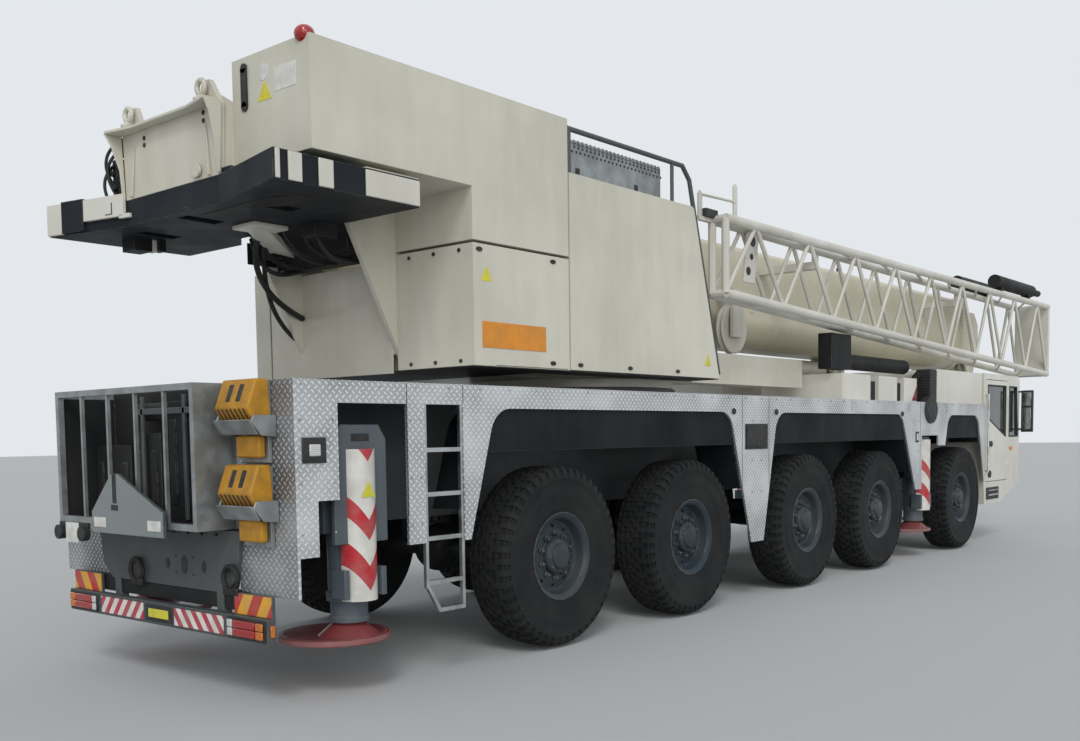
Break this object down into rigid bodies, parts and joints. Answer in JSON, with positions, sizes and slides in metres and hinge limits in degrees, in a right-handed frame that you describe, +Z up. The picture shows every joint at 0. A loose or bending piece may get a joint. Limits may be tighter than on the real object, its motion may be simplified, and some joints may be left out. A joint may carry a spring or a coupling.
{
  "type": "mobile crane",
  "caption": "Mobile crane with a telescopic boom and a lattice jib stowed beside it, cream paint, tread plate skirts and dark ballast, parked for the road.",
  "frame": {"origin": "middle of the crane's length and width, on the ground", "axes": "+X towards the driving cab, +Y to the crane's left, +Z up"},
  "size_m": [15.208, 3.12, 3.958],
  "materials": {
    "cream_paint": "gloss",
    "slate_paint": "satin",
    "tread_plate": "satin",
    "tyre_rubber": "matte",
    "rim_paint": "satin",
    "steel": "satin",
    "ram_chrome": "polished",
    "red_paint": "satin",
    "yellow_plastic": "matte",
    "clear_glass": "polished",
    "black_plastic": "matte"
  },
  "bodies": {
    "carrier": {"chassis_frame": "slate_paint", "axle_beams": "slate_paint", "side_skirts": "tread_plate", "deck": "tread_plate", "arch_liners": "slate_paint", "rear_rack": "slate_paint", "rear_bumper": "cream_paint", "wheel_chocks": "yellow_plastic", "access_ladders": "steel", "carrier_cab": "cream_paint", "cab_glass": "clear_glass", "cab_interior": "black_plastic", "cab_mirrors": "black_plastic", "deck_boxes": "cream_paint", "carrier_engine": "slate_paint"},
    "superstructure": {"slewing_platform": "cream_paint", "housings": "cream_paint", "cooler_and_rail": "cream_paint", "counterweight": "slate_paint"},
    "wheel_5_right": {"wheel_5_right": "tyre_rubber"},
    "knuckle_5_right": {"knuckle_5_right": "slate_paint"},
    "wheel_5_left": {"wheel_5_left": "tyre_rubber"},
    "knuckle_5_left": {"knuckle_5_left": "slate_paint"},
    "wheel_4_right": {"wheel_4_right": "tyre_rubber"},
    "knuckle_4_right": {"knuckle_4_right": "slate_paint"},
    "wheel_4_left": {"wheel_4_left": "tyre_rubber"},
    "knuckle_4_left": {"knuckle_4_left": "slate_paint"},
    "wheel_3_right": {"wheel_3_right": "tyre_rubber"},
    "wheel_3_left": {"wheel_3_left": "tyre_rubber"},
    "wheel_2_right": {"wheel_2_right": "tyre_rubber"},
    "knuckle_2_right": {"knuckle_2_right": "slate_paint"},
    "wheel_2_left": {"wheel_2_left": "tyre_rubber"},
    "knuckle_2_left": {"knuckle_2_left": "slate_paint"},
    "wheel_1_right": {"wheel_1_right": "tyre_rubber"},
    "knuckle_1_right": {"knuckle_1_right": "slate_paint"},
    "wheel_1_left": {"wheel_1_left": "tyre_rubber"},
    "knuckle_1_left": {"knuckle_1_left": "slate_paint"},
    "stabiliser_beam_rear_right": {"stabiliser_beam_rear_right": "slate_paint"},
    "stabiliser_leg_rear_right": {"stabiliser_leg_rear_right": "red_paint"},
    "stabiliser_beam_rear_left": {"stabiliser_beam_rear_left": "slate_paint"},
    "stabiliser_leg_rear_left": {"stabiliser_leg_rear_left": "red_paint"},
    "stabiliser_beam_front_right": {"stabiliser_beam_front_right": "slate_paint"},
    "stabiliser_leg_front_right": {"stabiliser_leg_front_right": "red_paint"},
    "stabiliser_beam_front_left": {"stabiliser_beam_front_left": "slate_paint"},
    "stabiliser_leg_front_left": {"stabiliser_leg_front_left": "red_paint"},
    "cab_door_right": {"cab_door_right": "cream_paint"},
    "cab_door_left": {"cab_door_left": "cream_paint"},
    "operator_cab": {"operator_cab": "cream_paint"},
    "operator_door": {"operator_door": "cream_paint"},
    "winch": {"winch_drum": "slate_paint"},
    "boom": {"boom_base": "cream_paint", "lattice_jib": "cream_paint", "jib_rams": "cream_paint"},
    "telescope_1": {"telescope_1": "cream_paint"},
    "telescope_2": {"telescope_2": "cream_paint"},
    "telescope_3": {"telescope_3": "cream_paint"},
    "telescope_4": {"telescope_4": "cream_paint"},
    "telescope_5": {"telescope_5": "cream_paint"},
    "ram_barrel": {"luffing_barrel": "cream_paint"},
    "ram_rod": {"luffing_rod": "ram_chrome"}
  },
  "joints": [
    {"name": "wheel_5_right_spin", "type": "hinge", "parent": "knuckle_5_right", "child": "wheel_5_right", "pos_m": [-4.814, -1.167, 0.695], "axis": [0, 1, 0], "continuous": true},
    {"name": "wheel_5_left_spin", "type": "hinge", "parent": "knuckle_5_left", "child": "wheel_5_left", "pos_m": [-4.814, 1.167, 0.695], "axis": [0, 1, 0], "continuous": true},
    {"name": "wheel_4_right_spin", "type": "hinge", "parent": "knuckle_4_right", "child": "wheel_4_right", "pos_m": [-3.004, -1.167, 0.695], "axis": [0, 1, 0], "continuous": true},
    {"name": "wheel_4_left_spin", "type": "hinge", "parent": "knuckle_4_left", "child": "wheel_4_left", "pos_m": [-3.004, 1.167, 0.695], "axis": [0, 1, 0], "continuous": true},
    {"name": "wheel_3_right_spin", "type": "hinge", "parent": "carrier", "child": "wheel_3_right", "pos_m": [-0.774, -1.167, 0.695], "axis": [0, 1, 0], "continuous": true},
    {"name": "wheel_3_left_spin", "type": "hinge", "parent": "carrier", "child": "wheel_3_left", "pos_m": [-0.774, 1.167, 0.695], "axis": [0, 1, 0], "continuous": true},
    {"name": "wheel_2_right_spin", "type": "hinge", "parent": "knuckle_2_right", "child": "wheel_2_right", "pos_m": [1.046, -1.167, 0.695], "axis": [0, 1, 0], "continuous": true},
    {"name": "wheel_2_left_spin", "type": "hinge", "parent": "knuckle_2_left", "child": "wheel_2_left", "pos_m": [1.046, 1.167, 0.695], "axis": [0, 1, 0], "continuous": true},
    {"name": "wheel_1_right_spin", "type": "hinge", "parent": "knuckle_1_right", "child": "wheel_1_right", "pos_m": [3.746, -1.167, 0.695], "axis": [0, 1, 0], "continuous": true},
    {"name": "wheel_1_left_spin", "type": "hinge", "parent": "knuckle_1_left", "child": "wheel_1_left", "pos_m": [3.746, 1.167, 0.695], "axis": [0, 1, 0], "continuous": true},
    {"name": "steer_1_right", "type": "hinge", "parent": "carrier", "child": "knuckle_1_right", "pos_m": [3.746, -0.9, 0.695], "axis": [0, 0, 1], "range_deg": [-27, 27]},
    {"name": "steer_1_left", "type": "hinge", "parent": "carrier", "child": "knuckle_1_left", "pos_m": [3.746, 0.9, 0.695], "axis": [0, 0, 1], "range_deg": [-27, 27]},
    {"name": "steer_2_right", "type": "hinge", "parent": "carrier", "child": "knuckle_2_right", "pos_m": [1.046, -0.9, 0.695], "axis": [0, 0, 1], "range_deg": [-20.25, 20.25]},
    {"name": "steer_2_left", "type": "hinge", "parent": "carrier", "child": "knuckle_2_left", "pos_m": [1.046, 0.9, 0.695], "axis": [0, 0, 1], "range_deg": [-20.25, 20.25]},
    {"name": "steer_4_right", "type": "hinge", "parent": "carrier", "child": "knuckle_4_right", "pos_m": [-3.004, -0.9, 0.695], "axis": [0, 0, 1], "range_deg": [-10.8, 10.8]},
    {"name": "steer_4_left", "type": "hinge", "parent": "carrier", "child": "knuckle_4_left", "pos_m": [-3.004, 0.9, 0.695], "axis": [0, 0, 1], "range_deg": [-10.8, 10.8]},
    {"name": "steer_5_right", "type": "hinge", "parent": "carrier", "child": "knuckle_5_right", "pos_m": [-4.814, -0.9, 0.695], "axis": [0, 0, 1], "range_deg": [-17.55, 17.55]},
    {"name": "steer_5_left", "type": "hinge", "parent": "carrier", "child": "knuckle_5_left", "pos_m": [-4.814, 0.9, 0.695], "axis": [0, 0, 1], "range_deg": [-17.55, 17.55]},
    {"name": "extend_rear_right", "type": "slide", "parent": "carrier", "child": "stabiliser_beam_rear_right", "axis": [0, -1, 0], "range_m": [0, 1.65]},
    {"name": "jack_rear_right", "type": "slide", "parent": "stabiliser_beam_rear_right", "child": "stabiliser_leg_rear_right", "axis": [0, 0, -1], "range_m": [0, 0.55]},
    {"name": "extend_rear_left", "type": "slide", "parent": "carrier", "child": "stabiliser_beam_rear_left", "axis": [0, 1, 0], "range_m": [0, 1.65]},
    {"name": "jack_rear_left", "type": "slide", "parent": "stabiliser_beam_rear_left", "child": "stabiliser_leg_rear_left", "axis": [0, 0, -1], "range_m": [0, 0.55]},
    {"name": "extend_front_right", "type": "slide", "parent": "carrier", "child": "stabiliser_beam_front_right", "axis": [0, -1, 0], "range_m": [0, 1.65]},
    {"name": "jack_front_right", "type": "slide", "parent": "stabiliser_beam_front_right", "child": "stabiliser_leg_front_right", "axis": [0, 0, -1], "range_m": [0, 0.55]},
    {"name": "extend_front_left", "type": "slide", "parent": "carrier", "child": "stabiliser_beam_front_left", "axis": [0, 1, 0], "range_m": [0, 1.65]},
    {"name": "jack_front_left", "type": "slide", "parent": "stabiliser_beam_front_left", "child": "stabiliser_leg_front_left", "axis": [0, 0, -1], "range_m": [0, 0.55]},
    {"name": "swing_cab_door_right", "type": "hinge", "parent": "carrier", "child": "cab_door_right", "pos_m": [5.586, -1.35, 1.5], "axis": [0, 0, 1], "range_deg": [0, 68]},
    {"name": "swing_cab_door_left", "type": "hinge", "parent": "carrier", "child": "cab_door_left", "pos_m": [5.586, 1.35, 1.5], "axis": [0, 0, -1], "range_deg": [0, 68]},
    {"name": "slew", "type": "hinge", "parent": "carrier", "child": "superstructure", "pos_m": [-3.014, 0, 2.015], "axis": [0, 0, 1], "continuous": true},
    {"name": "tilt_operator_cab", "type": "hinge", "parent": "superstructure", "child": "operator_cab", "pos_m": [-3.069, 0.95, 2.18], "axis": [0, -1, 0], "range_deg": [0, 20]},
    {"name": "slide_operator_door", "type": "slide", "parent": "operator_cab", "child": "operator_door", "axis": [-1, 0, 0], "range_m": [0, 0.66]},
    {"name": "winch_turn", "type": "hinge", "parent": "superstructure", "child": "winch", "pos_m": [-6.694, 0, 3.56], "axis": [0, 1, 0], "continuous": true},
    {"name": "luff", "type": "hinge", "parent": "superstructure", "child": "boom", "pos_m": [-5.714, 0, 3.15], "axis": [0, -1, 0], "range_deg": [0, 82]},
    {"name": "extend_1", "type": "slide", "parent": "boom", "child": "telescope_1", "axis": [1, 0, 0], "range_m": [0, 10]},
    {"name": "extend_2", "type": "slide", "parent": "telescope_1", "child": "telescope_2", "axis": [1, 0, 0], "range_m": [0, 10]},
    {"name": "extend_3", "type": "slide", "parent": "telescope_2", "child": "telescope_3", "axis": [1, 0, 0], "range_m": [0, 10]},
    {"name": "extend_4", "type": "slide", "parent": "telescope_3", "child": "telescope_4", "axis": [1, 0, 0], "range_m": [0, 10]},
    {"name": "extend_5", "type": "slide", "parent": "telescope_4", "child": "telescope_5", "axis": [1, 0, 0], "range_m": [0, 10]},
    {"name": "ram_swing", "type": "hinge", "parent": "superstructure", "child": "ram_barrel", "pos_m": [-2.614, 0, 2.385], "axis": [0, -1, 0], "range_deg": [0, 97.74]},
    {"name": "ram_stroke", "type": "slide", "parent": "ram_barrel", "child": "ram_rod", "axis": [1, 0, 0.0039], "range_m": [0, 3.7671]}
  ],
  "couplings": [
    {"joint": "steer_1_left", "follows": "steer_1_right", "ratio": 1},
    {"joint": "steer_2_right", "follows": "steer_1_right", "ratio": 0.75},
    {"joint": "steer_2_left", "follows": "steer_1_right", "ratio": 0.75},
    {"joint": "steer_4_right", "follows": "steer_1_right", "ratio": -0.4},
    {"joint": "steer_4_left", "follows": "steer_1_right", "ratio": -0.4},
    {"joint": "steer_5_right", "follows": "steer_1_right", "ratio": -0.65},
    {"joint": "steer_5_left", "follows": "steer_1_right", "ratio": -0.65},
    {"joint": "extend_2", "follows": "extend_1", "ratio": 1},
    {"joint": "extend_3", "follows": "extend_1", "ratio": 1},
    {"joint": "extend_4", "follows": "extend_1", "ratio": 1},
    {"joint": "extend_5", "follows": "extend_1", "ratio": 1},
    {"joint": "ram_swing", "follows": "luff", "ratio": 1.192},
    {"joint": "ram_stroke", "follows": "luff", "m_per_rad": 2.6322}
  ]
}
